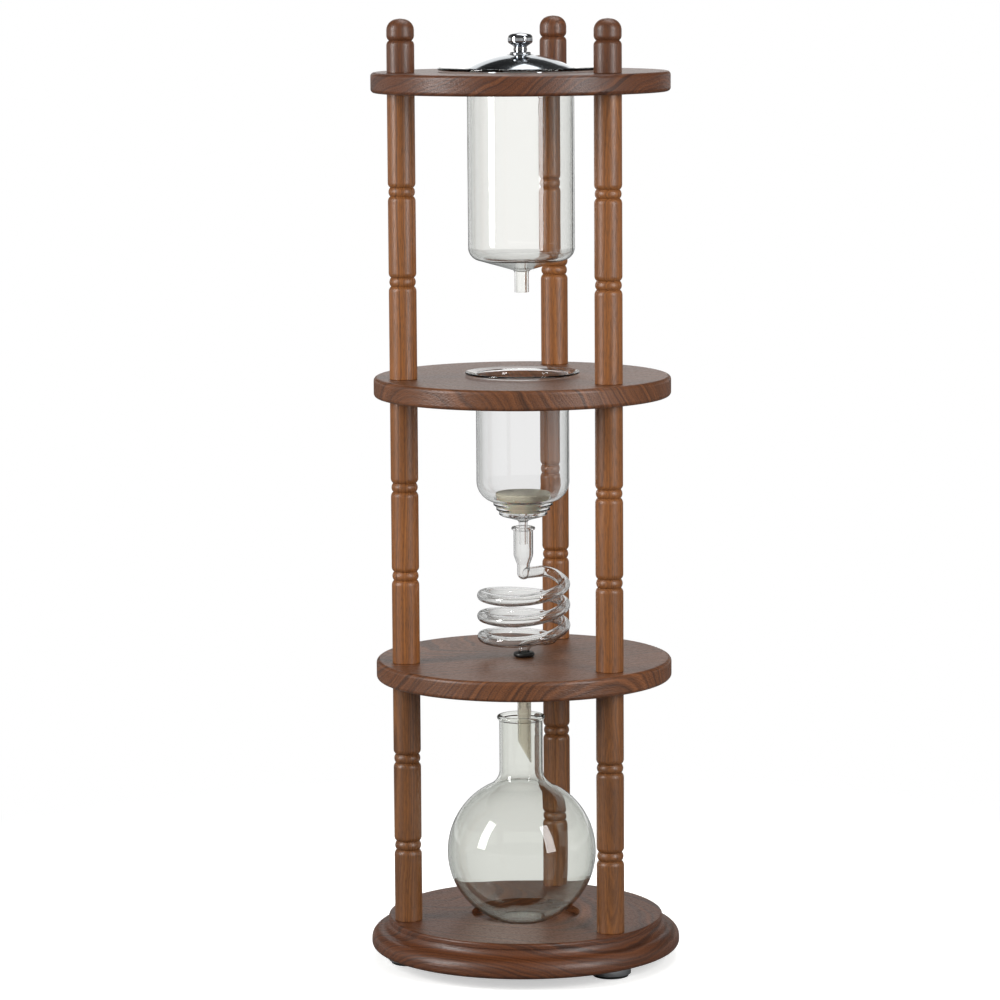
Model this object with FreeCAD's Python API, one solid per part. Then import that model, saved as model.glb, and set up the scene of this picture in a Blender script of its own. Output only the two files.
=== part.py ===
import FreeCAD, Part
import math
import os

os.makedirs("parts", exist_ok=True)

# Cold drip coffee tower, in millimetres. +Z is up, the origin is on the tower's axis at the
# level of the table, and -Y is the front. A turned wooden stand carries, from the top down,
# a water beaker with its lid, a coffee beaker with its filter, a glass spiral and a flask.

# Base: one round board with a lip, a cove and a half-round nose turned on its edge
base_radius = 143.3
base_thickness = 29.5
base_lip_radius = 127.5
base_lip_height = 5.1
base_lip_step = 1.0
base_lip_round = 2.0
base_nose_radius = 9.4
base_lower_round = 4.5
recess_radius = 50.45
recess_depth = 7.2

# Shelves: three round boards of one size, bored for what hangs in them
shelf_radius = 136.5
shelf_thickness = 18.5
shelf_edge_round = 3.5
hole_lower_round = 1.0

# Columns: turned spindles with two beads each, on one circle
column_radius = 12.6
column_circle_radius = 111.6
column_end_round = 0.6
lower_column_length = 223.0
middle_column_length = 243.3
upper_column_length = 259.2
bead_spacing = 81.7
bead_radius = 12.05
groove_radius = 10.45
groove_spacing = 8.0
shoulder_length = 4.3
column_angles = {"left": -150.0, "right": -30.0, "rear": 90.0}

# Finials: the short turned ends that close the columns above the top shelf
finial_height = 48.8
finial_groove_height = 29.1
finial_groove_radius = 10.3
finial_knob_radius = 12.5
finial_knob_foot_round = 5.5
finial_knob_top_round = 10.2
finial_crown_rise = 1.6

# Screwed joints: a steel stud glued into the upper piece, a brass insert in the lower one
stud_radius = 4.0
stud_glued_depth = 20.0
stud_screwed_depth = 13.0
stud_clearance = 0.05
shelf_stud_clearance = 0.3
insert_radius = 5.5
insert_length = 14.0
insert_end_gap = 1.0

# Feet: a pressed metal cup with a rubber pad in it, each held by one wood screw
foot_height = 11.5
foot_circle_radius = 111.5
cup_radius = 18.6
cup_wall = 1.2
cup_lip_height = 2.6
cup_round = 3.0
pad_radius = 16.6
pad_edge_round = 1.2
pad_clearance = 0.1
pad_hole_radius = 5.6
foot_screw_radius = 2.0
foot_screw_depth = 10.0
foot_screw_head_radius = 4.4
foot_screw_head_height = 3.0
foot_screw_clearance = 0.1

# Seats of the hanging glass: what holds it keeps a small running gap
seat_gap = 0.3
hole_clearance = 0.8

# Water beaker: blown glass, a wide flat lip at the top and a plain nozzle below
water_radius = 48.85
water_wall = 2.5
water_lip_radius = 75.45
water_lip_slope = 2.8
water_hole_round = 4.0
water_depth = 160.0
water_shoulder_radius = 12.0
water_cone_angle = 16.0
water_nozzle_radius = 6.55
water_nozzle_wall = 1.5
water_nozzle_length = 20.0
water_nozzle_fillet = 3.0

# Lid: a polished metal dome with a turned knob screwed on from below
lid_margin = 0.65
lid_thickness = 1.0
lid_rise = 12.7
lid_edge_height = 2.4
dimple_radius = 13.0
dimple_floor_radius = 9.6
dimple_depth = 2.1
knob_height = 23.2
knob_head_radius = 11.3
knob_head_height = 10.0
knob_head_crown = 2.6
knob_waist_radius = 5.7
knob_waist_height = 4.8
knob_bulge_radius = 6.3
knob_bulge_height = 2.3
knob_collar_radius = 9.65
knob_collar_height = 3.9
knob_neck_height = 1.0
lid_screw_radius = 2.0
lid_screw_depth = 9.0
lid_screw_head_radius = 4.0
lid_screw_head_height = 2.4
washer_radius = 6.5
washer_thickness = 1.0
lid_screw_clearance = 0.05

# Coffee beaker: blown glass, a conical lip, a ribbed cup that holds the filter, a thin nozzle
coffee_radius = 42.8
coffee_wall = 2.0
coffee_lip_radius = 52.65
coffee_lip_slope = 14.0
coffee_hole_round = 2.5
coffee_shoulder_drop = 111.8
coffee_shoulder_radius = 20.0
coffee_shoulder_angle = 18.0
cup_rib_count = 3
cup_rib_pitch = 4.4
cup_rib_depth = 0.9
cup_rib_flare = 2.6
cup_neck_radius = 27.6
cup_floor_angle = 16.0
cup_floor_wall = 2.3
coffee_nozzle_radius = 4.1
coffee_nozzle_wall = 1.4
coffee_nozzle_length = 21.8
coffee_nozzle_fillet = 3.0

# Filter: a ceramic disc plugged into a silicone gasket
filter_radius = 25.5
filter_thickness = 5.0
filter_crown = 0.7
filter_edge_round = 1.4
filter_spigot_radius = 20.5
filter_spigot_length = 5.0
gasket_rise = 3.2
gasket_height = 11.4
gasket_edge_round = 0.8
gasket_lip_radius = 15.5
gasket_clearance = 0.05

# Spiral: a socket, an elbow, and a tube wound in falling turns that ends on the axis
socket_radius = 9.05
socket_wall = 1.3
socket_rim_radius = 10.95
socket_rim_height = 3.1
socket_length = 26.6
socket_taper_length = 9.0
socket_overlap = 16.2
elbow_radius = 5.8
elbow_length = 8.0
tube_radius = 5.2
tube_wall = 1.2
coil_radius = 37.8
coil_pitch = 19.2
coil_first_drop = 10.0
coil_turns = 3
coil_lead_angle = 38.0
coil_lead_turn = 17.0
right_side_angle = 15.9
quarter_falls = (0.50, 0.04, 0.20, 0.26)
outlet_bend_radius = 11.0
outlet_end_drop = 48.6

# Spiral's ring and the silicone tube on its outlet
outlet_hole_radius = 7.0
ring_thickness = 4.6
ring_clearance = 0.05
sleeve_radius = 6.3
sleeve_clearance = 0.05
sleeve_top_drop = 7.5
sleeve_length = 92.6
sleeve_cut_rise = 21.6

# Flask: a round flask with a flat bottom, standing a little to the left in its recess
flask_radius = 69.0
flask_wall = 2.0
flask_flat_radius = 22.0
flask_neck_radius = 20.15
flask_neck_blend = 16.0
flask_height = 194.0
flask_rim_radius = 22.15
flask_rim_height = 5.2
flask_rim_round = 2.0
flask_shift = (-3.1, -0.9)

# Levels, from the table up
base_bottom = foot_height
base_top = base_bottom + base_thickness
lower_shelf_bottom = base_top + lower_column_length
lower_shelf_top = lower_shelf_bottom + shelf_thickness
middle_shelf_bottom = lower_shelf_top + middle_column_length
middle_shelf_top = middle_shelf_bottom + shelf_thickness
upper_shelf_bottom = middle_shelf_top + upper_column_length
upper_shelf_top = upper_shelf_bottom + shelf_thickness


def vector(radius, height):
    """A point of an outline, in the plane that is turned about the axis."""
    return FreeCAD.Vector(radius, 0, height)


def on_circle(radius, angle, height=0.0):
    """The point at an angle on a level circle round the axis."""
    turn = math.radians(angle)
    return FreeCAD.Vector(radius * math.cos(turn), radius * math.sin(turn), height)


def corner_arc(before, corner, after, radius):
    """The start, middle and end of the arc that rounds a corner."""
    back = (before - corner).normalize()
    ahead = (after - corner).normalize()
    half = back.getAngle(ahead) / 2
    start = corner + back * (radius / math.tan(half))
    end = corner + ahead * (radius / math.tan(half))
    inward = (back + ahead).normalize()
    centre = corner + inward * (radius / math.sin(half))
    return start, centre - inward * radius, end


def outline(points):
    """A closed outline. A point is (r, z) or (r, z, corner radius), and ("via", r, z)
    between two points bends the run between them into an arc through (r, z)."""
    corners = []
    vias = {}
    for point in points:
        if point[0] == "via":
            vias[len(corners) - 1] = vector(point[1], point[2])
        else:
            corners.append(point)
    places = [vector(corner[0], corner[1]) for corner in corners]
    count = len(places)
    entries = list(places)
    exits = list(places)
    rounds = {}
    for index, corner in enumerate(corners):
        if len(corner) == 3:
            before = places[index - 1]
            after = places[(index + 1) % count]
            start, middle, end = corner_arc(before, places[index], after, corner[2])
            entries[index] = start
            exits[index] = end
            rounds[index] = Part.Arc(start, middle, end).toShape()
    edges = []
    for index in range(count):
        following = (index + 1) % count
        if index in vias:
            edges.append(Part.Arc(exits[index], vias[index], entries[following]).toShape())
        else:
            edges.append(Part.makeLine(exits[index], entries[following]))
        if following in rounds:
            edges.append(rounds[following])
    return Part.Wire(Part.__sortEdges__(edges))


def turned(points):
    """The solid that an outline makes when it is turned about the axis."""
    solid = Part.Face(outline(points)).revolve(vector(0, 0), FreeCAD.Vector(0, 0, 1), 360)
    if solid.Volume < 0:
        solid.reverse()
    return solid


def cylinder(radius, bottom, top, place=None):
    """An upright cylinder between two levels, on the axis or at a place."""
    solid = Part.makeCylinder(radius, top - bottom, vector(0, bottom))
    if place is not None:
        solid.translate(place)
    return solid


def save(node, *solids):
    """Write one node, as one solid or as a group of separate solids."""
    shape = solids[0] if len(solids) == 1 else Part.Compound(list(solids))
    shape.exportStep(f"parts/{node}.step")


def column_places():
    """Each column's name and its place on the column circle."""
    return [(name, on_circle(column_circle_radius, angle)) for name, angle in column_angles.items()]


def stud_bores(radius, bottom, top):
    """One upright bore at each column, between two levels."""
    return [cylinder(radius, bottom, top, place) for _, place in column_places()]


def easing(near, far):
    """The middle of the arc that leaves a point along the axis and reaches another point."""
    across = far[0] - near[0]
    along = far[1] - near[1]
    radius = (across ** 2 + along ** 2) / (2 * abs(across))
    half = math.asin(abs(along) / radius) / 2
    side = math.copysign(radius * (1 - math.cos(half)), across)
    forward = math.copysign(radius * math.sin(half), along)
    return ("via", near[0] + side, near[1] + forward)


# Stand

def base_plate():
    """The base board, with the recess for the flask and the bores of its screws."""
    lip_bottom = base_top - base_lip_height
    cove_top_radius = base_lip_radius - base_lip_step
    nose_start_radius = base_radius - base_nose_radius
    cove_radius = nose_start_radius - cove_top_radius
    nose_top = lip_bottom - cove_radius
    nose_side = nose_top - base_nose_radius
    diagonal = math.sqrt(0.5)
    board = turned([
        (0, base_bottom),
        (base_radius, base_bottom, base_lower_round),
        (base_radius, nose_side),
        ("via", nose_start_radius + base_nose_radius * diagonal, nose_side + base_nose_radius * diagonal),
        (nose_start_radius, nose_top),
        ("via", nose_start_radius - cove_radius * diagonal, lip_bottom - cove_radius * diagonal),
        (cove_top_radius, lip_bottom),
        (base_lip_radius, lip_bottom, base_lip_step / 2),
        (base_lip_radius, base_top, base_lip_round),
        (recess_radius, base_top),
        (recess_radius, base_top - recess_depth),
        (0, base_top - recess_depth),
    ])
    bores = stud_bores(insert_radius, base_top - insert_length - insert_end_gap, base_top)
    screw_radius = foot_screw_radius + foot_screw_clearance
    screw_top = base_bottom + foot_screw_depth
    for place in foot_places().values():
        bores.append(cylinder(screw_radius, base_bottom, screw_top, place))
    return board.cut(bores)


def shelf(bottom, hole_radius, hole_round):
    """A shelf with its middle hole rounded over at the top, bored for the studs."""
    top = bottom + shelf_thickness
    board = turned([
        (hole_radius, bottom, hole_lower_round),
        (shelf_radius, bottom, shelf_edge_round),
        (shelf_radius, top, shelf_edge_round),
        (hole_radius, top, hole_round),
    ])
    return board.cut(stud_bores(stud_radius + shelf_stud_clearance, bottom, top))


def bead_outline(centre):
    """The outline of one bead between its two grooves, with the shoulders beside them."""
    low = centre - groove_spacing / 2
    high = centre + groove_spacing / 2
    low_shoulder = (column_radius, low - shoulder_length)
    high_shoulder = (column_radius, high + shoulder_length)
    return [
        low_shoulder,
        easing(low_shoulder, (groove_radius, low)),
        (groove_radius, low),
        ("via", bead_radius, centre),
        (groove_radius, high),
        easing(high_shoulder, (groove_radius, high)),
        high_shoulder,
    ]


def column(bottom, length):
    """A turned column, bored for a stud below and for an insert above."""
    top = bottom + length
    middle = bottom + length / 2
    spindle = turned([
        (0, bottom),
        (column_radius, bottom, column_end_round),
        *bead_outline(middle - bead_spacing / 2),
        *bead_outline(middle + bead_spacing / 2),
        (column_radius, top, column_end_round),
        (0, top),
    ])
    stud_bore = cylinder(stud_radius + stud_clearance, bottom, bottom + stud_glued_depth)
    insert_bore = cylinder(insert_radius, top - insert_length - insert_end_gap, top)
    return spindle.cut([stud_bore, insert_bore])


def finial():
    """A turned finial: a short stem, a groove and a round knob, bored for its stud."""
    bottom = upper_shelf_top
    groove = bottom + finial_groove_height
    top = bottom + finial_height
    shoulder = (column_radius, groove - shoulder_length)
    knob_foot = groove + (finial_knob_radius - finial_groove_radius)
    body = turned([
        (0, bottom),
        (column_radius, bottom, column_end_round),
        shoulder,
        easing(shoulder, (finial_groove_radius, groove)),
        (finial_groove_radius, groove),
        (finial_knob_radius, knob_foot, finial_knob_foot_round),
        (finial_knob_radius, top - finial_crown_rise, finial_knob_top_round),
        (0, top),
    ])
    return body.cut(cylinder(stud_radius + stud_clearance, bottom, bottom + stud_glued_depth))


def studs(joint_bottom, joint_top):
    """The three studs of one level, each through what lies between the joined pieces."""
    bottom = joint_bottom - stud_screwed_depth
    top = joint_top + stud_glued_depth - stud_clearance
    return [cylinder(stud_radius, bottom, top, place) for _, place in column_places()]


def inserts(top):
    """The three threaded inserts of one level, flush with the face that they open on."""
    bottom = top - insert_length
    rings = []
    for _, place in column_places():
        outer = cylinder(insert_radius - stud_clearance, bottom, top, place)
        rings.append(outer.cut(cylinder(stud_radius + stud_clearance, bottom, top, place)))
    return rings


def foot_places():
    """Each foot's place, under the column of the same name."""
    return {name: on_circle(foot_circle_radius, angle) for name, angle in column_angles.items()}


def foot_cup():
    """The pressed cup that screws to the base, open below."""
    inner = cup_radius - cup_wall
    hole = foot_screw_radius + foot_screw_clearance
    return turned([
        (hole, foot_height - cup_wall),
        (inner, foot_height - cup_wall, cup_round - cup_wall),
        (inner, cup_lip_height),
        (cup_radius, cup_lip_height, cup_wall * 0.4),
        (cup_radius, foot_height, cup_round),
        (hole, foot_height),
    ])


def foot_pad():
    """The rubber pad that the tower stands on, with a hole that reaches the screw."""
    inner = cup_radius - cup_wall - pad_clearance
    top = foot_height - cup_wall - pad_clearance
    return turned([
        (pad_hole_radius, 0),
        (pad_radius, 0, pad_edge_round),
        (pad_radius, cup_lip_height),
        (inner, cup_lip_height),
        (inner, top, cup_round - cup_wall),
        (pad_hole_radius, top),
    ])


def foot_screw():
    """The wood screw of one foot, its head inside the cup."""
    seat = foot_height - cup_wall
    return turned([
        (0, seat - foot_screw_head_height),
        (foot_screw_head_radius, seat - foot_screw_head_height, foot_screw_head_height / 3),
        (foot_screw_head_radius, seat),
        (foot_screw_radius, seat),
        (foot_screw_radius, base_bottom + foot_screw_depth - foot_screw_radius),
        (0, base_bottom + foot_screw_depth),
    ])


def build_stand():
    """The stand: base, feet, columns, shelves and finials, with what screws them together."""
    save("base_plate", base_plate())
    save("lower_shelf", shelf(lower_shelf_bottom, outlet_hole_radius, hole_lower_round))
    save("middle_shelf", shelf(middle_shelf_bottom, coffee_radius + hole_clearance, coffee_hole_round))
    save("top_shelf", shelf(upper_shelf_bottom, water_radius + hole_clearance, water_hole_round))
    levels = [
        ("lower", base_top, lower_column_length),
        ("middle", lower_shelf_top, middle_column_length),
        ("upper", middle_shelf_top, upper_column_length),
    ]
    for level, bottom, length in levels:
        spindle = column(bottom, length)
        for name, place in column_places():
            save(f"{level}_column_{name}", spindle.translated(place))
    for name, place in column_places():
        save(f"finial_{name}", finial().translated(place))
    joints = [
        ("base", base_top, base_top),
        ("lower_shelf", lower_shelf_bottom, lower_shelf_top),
        ("middle_shelf", middle_shelf_bottom, middle_shelf_top),
        ("top_shelf", upper_shelf_bottom, upper_shelf_top),
    ]
    for level, low_face, high_face in joints:
        save(f"{level}_studs", *studs(low_face, high_face))
        save(f"{level}_inserts", *inserts(low_face))
    for name, place in foot_places().items():
        save(f"foot_cup_{name}", foot_cup().translated(place))
        save(f"foot_pad_{name}", foot_pad().translated(place))
    save("foot_screws", *[foot_screw().translated(place) for place in foot_places().values()])


# Glass beakers

def lip_corner(radius, shelf_top, hole_round, slope, offset):
    """Where a beaker's wall, moved in by an offset, meets its lip. The lip leaves the wall
    round the shelf's rounded edge and rises outwards at the slope."""
    turn = math.radians(slope)
    flare = hole_round + hole_clearance
    centre_height = shelf_top - hole_round - (hole_clearance - seat_gap)
    start_radius = radius + flare - (flare + offset) * math.sin(turn)
    start_height = centre_height + (flare + offset) * math.cos(turn)
    return start_height - (start_radius - (radius - offset)) * math.tan(turn)


def lip_outline(radius, wall, lip_radius, shelf_top, hole_round, slope):
    """The lip of a hanging beaker, from its outer wall round to its inner wall."""
    rise = math.tan(math.radians(slope))
    flare = hole_round + hole_clearance
    outer_corner = lip_corner(radius, shelf_top, hole_round, slope, 0)
    inner_corner = lip_corner(radius, shelf_top, hole_round, slope, wall)
    edge_round = wall * 0.45
    return [
        (radius, outer_corner, flare),
        (lip_radius, outer_corner + (lip_radius - radius) * rise, edge_round),
        (lip_radius, inner_corner + (lip_radius - radius + wall) * rise, edge_round),
        (radius - wall, inner_corner, flare + wall),
    ]


water_lip = lip_outline(
    water_radius, water_wall, water_lip_radius, upper_shelf_top, water_hole_round, water_lip_slope)
water_shoulder_level = upper_shelf_top - water_depth
water_cone_rise = math.tan(math.radians(water_cone_angle))
water_corner_level = water_shoulder_level - water_shoulder_radius * math.tan(
    math.radians(90 - water_cone_angle) / 2)
water_nozzle_top = water_corner_level - (water_radius - water_nozzle_radius) * water_cone_rise
water_nozzle_end = water_nozzle_top - water_nozzle_length


def water_beaker():
    """The water beaker: flat lip, straight wall, shallow cone and nozzle."""
    inner_radius = water_radius - water_wall
    bore_radius = water_nozzle_radius - water_nozzle_wall
    inner_lift = water_wall / math.cos(math.radians(water_cone_angle))
    inner_corner = water_corner_level - water_wall * water_cone_rise + inner_lift
    bore_top = inner_corner - (inner_radius - bore_radius) * water_cone_rise
    end_round = water_nozzle_wall * 0.4
    return turned([
        (bore_radius, water_nozzle_end, end_round),
        (water_nozzle_radius, water_nozzle_end, end_round),
        (water_nozzle_radius, water_nozzle_top, water_nozzle_fillet),
        (water_radius, water_corner_level, water_shoulder_radius),
        *water_lip,
        (inner_radius, inner_corner, water_shoulder_radius - water_wall),
        (bore_radius, bore_top, water_nozzle_fillet + water_wall),
    ])


coffee_lip = lip_outline(
    coffee_radius, coffee_wall, coffee_lip_radius, middle_shelf_top, coffee_hole_round, coffee_lip_slope)
coffee_corner_level = middle_shelf_top - coffee_shoulder_drop
coffee_shoulder_rise = math.tan(math.radians(coffee_shoulder_angle))
cup_top = coffee_corner_level - (coffee_radius - cup_neck_radius) * coffee_shoulder_rise
cup_bottom = cup_top - cup_rib_count * cup_rib_pitch
cup_foot_radius = cup_neck_radius - cup_rib_count * cup_rib_flare
cup_floor_rise = math.tan(math.radians(cup_floor_angle))
coffee_nozzle_top = cup_bottom - (cup_foot_radius - coffee_nozzle_radius) * cup_floor_rise
coffee_nozzle_end = coffee_nozzle_top - coffee_nozzle_length
seat_rise = cup_rib_pitch / cup_rib_flare
seat_top_radius = cup_neck_radius - coffee_wall - cup_rib_depth / 2


def crossing(first, first_rise, second, second_rise):
    """Where two straight lines of an outline meet, each given by a point and its rise."""
    run = second[1] - first[1] + first[0] * first_rise - second[0] * second_rise
    radius = run / (first_rise - second_rise)
    return radius, first[1] + (radius - first[0]) * first_rise


def coffee_beaker():
    """The coffee beaker: conical lip, straight wall, shoulder, ribbed cup and nozzle."""
    inner_radius = coffee_radius - coffee_wall
    bore_radius = coffee_nozzle_radius - coffee_nozzle_wall
    inner_lift = coffee_wall / math.cos(math.radians(coffee_shoulder_angle))
    inner_corner = coffee_corner_level - coffee_wall * coffee_shoulder_rise + inner_lift
    seat = (seat_top_radius, cup_top)
    seat_top = crossing(seat, seat_rise, (inner_radius, inner_corner), coffee_shoulder_rise)
    floor_edge = (cup_foot_radius, cup_bottom + cup_floor_wall)
    seat_foot = crossing(seat, seat_rise, floor_edge, cup_floor_rise)
    bore_top = seat_foot[1] - (seat_foot[0] - bore_radius) * cup_floor_rise
    end_round = coffee_nozzle_wall * 0.4
    ribs = []
    for rib in range(cup_rib_count):
        rib_bottom = cup_bottom + rib * cup_rib_pitch
        rib_radius = cup_foot_radius + rib * cup_rib_flare
        low_crest = rib_bottom + cup_rib_pitch * 0.35
        high_crest = rib_bottom + cup_rib_pitch * 0.75
        crest_radius = rib_radius + cup_rib_flare * 0.55 + cup_rib_depth
        ribs.append((rib_radius, rib_bottom, cup_rib_depth / 3))
        ribs.append((crest_radius, low_crest, cup_rib_depth / 2))
        ribs.append((crest_radius, high_crest, cup_rib_depth / 2))
    return turned([
        (bore_radius, coffee_nozzle_end, end_round),
        (coffee_nozzle_radius, coffee_nozzle_end, end_round),
        (coffee_nozzle_radius, coffee_nozzle_top, coffee_nozzle_fillet),
        *ribs,
        (cup_neck_radius, cup_top, cup_rib_depth / 3),
        (coffee_radius, coffee_corner_level, coffee_shoulder_radius),
        *coffee_lip,
        (inner_radius, inner_corner, coffee_shoulder_radius - coffee_wall),
        (*seat_top, coffee_wall / 2),
        (*seat_foot, coffee_wall / 2),
        (bore_radius, bore_top, coffee_nozzle_fillet),
    ])


# Lid

lid_radius = water_radius - lid_margin


def lid_seat_level():
    """The level of the lid's edge, where it lies in the flare of the water beaker's lip."""
    flare = water_hole_round + hole_clearance
    centre_radius = water_radius + flare
    centre_level = upper_shelf_top - water_hole_round - (hole_clearance - seat_gap)
    reach = flare + water_wall
    return centre_level + math.sqrt(reach ** 2 - (centre_radius - lid_radius) ** 2) + seat_gap


lid_edge_bottom = lid_seat_level()
dome_foot = lid_edge_bottom + lid_edge_height
dome_sphere_radius = (lid_radius ** 2 + lid_rise ** 2) / (2 * lid_rise)
dome_centre = dome_foot + lid_rise - dome_sphere_radius


def dome_level(radius, thinner=0.0):
    """The height of the dome's outer face, or of a face inside it, at a radius."""
    return dome_centre + math.sqrt((dome_sphere_radius - thinner) ** 2 - radius ** 2)


dimple_floor = dome_level(dimple_radius) - dimple_depth


def lid_dome():
    """The lid's dome: a spherical sheet with a dimple for the knob and a short straight edge."""
    inner_edge = lid_radius - lid_thickness
    hole = lid_screw_radius + lid_screw_clearance
    halfway = (lid_radius + dimple_radius) / 2
    return turned([
        (inner_edge, lid_edge_bottom),
        (lid_radius, lid_edge_bottom, lid_thickness * 0.4),
        (lid_radius, dome_foot),
        ("via", halfway, dome_level(halfway)),
        (dimple_radius, dome_level(dimple_radius)),
        (dimple_floor_radius, dimple_floor, lid_thickness),
        (hole, dimple_floor),
        (hole, dimple_floor - lid_thickness),
        (dimple_floor_radius, dimple_floor - lid_thickness, lid_thickness),
        (dimple_radius, dome_level(dimple_radius, lid_thickness)),
        ("via", halfway, dome_level(halfway, lid_thickness)),
        (inner_edge, dome_level(inner_edge, lid_thickness)),
    ])


def lid_knob():
    """The turned knob: neck, collar, bulge, waist and a mushroom head, tapped from below."""
    collar_bottom = dimple_floor + knob_neck_height
    collar_top = collar_bottom + knob_collar_height
    top = dimple_floor + knob_height
    hole = lid_screw_radius + lid_screw_clearance
    hole_top = dimple_floor + lid_screw_depth
    return turned([
        (hole, dimple_floor),
        (knob_waist_radius, dimple_floor),
        (knob_waist_radius, collar_bottom),
        (knob_collar_radius, collar_bottom, knob_collar_height * 0.45),
        (knob_collar_radius, collar_top, knob_collar_height * 0.45),
        (knob_waist_radius, collar_top),
        (knob_bulge_radius, collar_top + knob_bulge_height, 1.2),
        (knob_waist_radius, collar_top + knob_waist_height, 1.5),
        (knob_head_radius, top - knob_head_height, 3.0),
        (knob_head_radius, top - knob_head_crown, 4.6),
        (0, top),
        (0, hole_top),
        (hole, hole_top - hole),
    ])


def lid_washer():
    """The washer between the screw's head and the lid."""
    top = dimple_floor - lid_thickness
    hole = lid_screw_radius + lid_screw_clearance
    return turned([
        (hole, top - washer_thickness),
        (washer_radius, top - washer_thickness),
        (washer_radius, top),
        (hole, top),
    ])


def lid_screw():
    """The screw that holds the knob, put in from inside the lid."""
    seat = dimple_floor - lid_thickness - washer_thickness
    return turned([
        (0, seat - lid_screw_head_height),
        (lid_screw_head_radius, seat - lid_screw_head_height, lid_screw_head_height / 2),
        (lid_screw_head_radius, seat),
        (lid_screw_radius, seat),
        (lid_screw_radius, dimple_floor + lid_screw_depth - 2 * lid_screw_radius),
        (0, dimple_floor + lid_screw_depth - lid_screw_radius),
    ])


# Filter

gasket_top = cup_top + gasket_rise
gasket_bottom = gasket_top - gasket_height
spigot_bottom = gasket_top - filter_spigot_length


def filter_gasket():
    """The gasket: a ring that tapers like the cup it sits in, with an inner lip below, on
    which the disc's spigot stands."""
    bore = filter_spigot_radius + gasket_clearance
    radius = seat_top_radius - seat_gap * math.hypot(1, 1 / seat_rise)
    foot_radius = radius - (cup_top - gasket_bottom) / seat_rise
    return turned([
        (gasket_lip_radius, gasket_bottom),
        (foot_radius, gasket_bottom, gasket_edge_round),
        (radius, cup_top, gasket_edge_round),
        (radius, gasket_top, gasket_edge_round),
        (bore, gasket_top),
        (bore, spigot_bottom),
        (gasket_lip_radius, spigot_bottom),
    ])


def filter_disc():
    """The ceramic disc, slightly crowned, with the spigot that plugs into the gasket."""
    top = gasket_top + filter_thickness
    return turned([
        (0, spigot_bottom),
        (filter_spigot_radius, spigot_bottom, 0.6),
        (filter_spigot_radius, gasket_top),
        (filter_radius, gasket_top, filter_edge_round / 2),
        (filter_radius, top, filter_edge_round),
        (0, top + filter_crown),
    ])


# Spiral

socket_rim_top = coffee_nozzle_end + socket_overlap
socket_bottom = socket_rim_top - socket_length
elbow_top = socket_bottom - socket_taper_length
elbow_level = elbow_top - elbow_length
first_turn_level = elbow_level - coil_first_drop
last_turn_level = first_turn_level - coil_pitch * (coil_turns - 1)
return_level = last_turn_level - coil_pitch * sum(quarter_falls[:3])
outlet_end = lower_shelf_top - outlet_end_drop


def socket_body(thinner, top):
    """The socket with its elbow, as a full body, or as the hollow inside it."""
    ball = elbow_radius - thinner
    wall = socket_radius - thinner
    diagonal = math.sqrt(0.5)
    points = [
        (0, elbow_level - ball),
        ("via", ball * diagonal, elbow_level - ball * diagonal),
        (ball, elbow_level),
        (ball, elbow_top, elbow_radius),
        (wall, socket_bottom, socket_radius),
    ]
    if thinner == 0:
        rim_bottom = top - socket_rim_height
        rim_round = socket_rim_height * 0.45
        points.append((wall, rim_bottom, socket_wall / 2))
        points.append((socket_rim_radius, rim_bottom, rim_round))
        points.append((socket_rim_radius, top, rim_round))
    else:
        points.append((wall, top))
    points.append((0, top))
    return turned(points)


def biarc(start, start_way, end, end_way):
    """Two arcs that leave one point along a direction and reach another along another."""
    span = end - start
    both = start_way + end_way
    a = 4 - both.dot(both)
    b = 2 * span.dot(both)
    c = -span.dot(span)
    reach = (-b + math.sqrt(b * b - 4 * a * c)) / (2 * a)
    first_corner = start + start_way * reach
    second_corner = end - end_way * reach
    joint = (first_corner + second_corner) * 0.5
    return [tangent_arc(start, first_corner, joint), tangent_arc(joint, second_corner, end)]


def tangent_arc(start, corner, end):
    """The arc from a point to another that lies along both lines to the corner."""
    length = (corner - start).Length
    start_way = (start - corner).normalize()
    end_way = (end - corner).normalize()
    half = start_way.getAngle(end_way) / 2
    centre = corner + (start_way + end_way).normalize() * (length / math.cos(half))
    radius = (centre - start).Length
    middle = centre + (corner - centre).normalize() * radius
    return Part.Arc(start, middle, end).toShape()


def winding_stations():
    """The points and directions of the wound tube, a quarter turn apart. The turns run
    clockwise from the right-hand side, and fall most between the right and the front."""
    stations = []
    level = first_turn_level
    quarters = 4 * (coil_turns - 1) + 3
    quarter_length = coil_radius * math.pi / 2
    for quarter in range(quarters + 1):
        angle = right_side_angle - 90 * quarter
        fall_before = quarter_falls[(quarter - 1) % 4]
        fall_after = quarter_falls[quarter % 4]
        slope = coil_pitch * (fall_before + fall_after) / 2 / quarter_length
        way = on_circle(1.0, angle - 90) - FreeCAD.Vector(0, 0, slope)
        stations.append((on_circle(coil_radius, angle, level), way.normalize()))
        level -= coil_pitch * fall_after
    return stations


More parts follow.
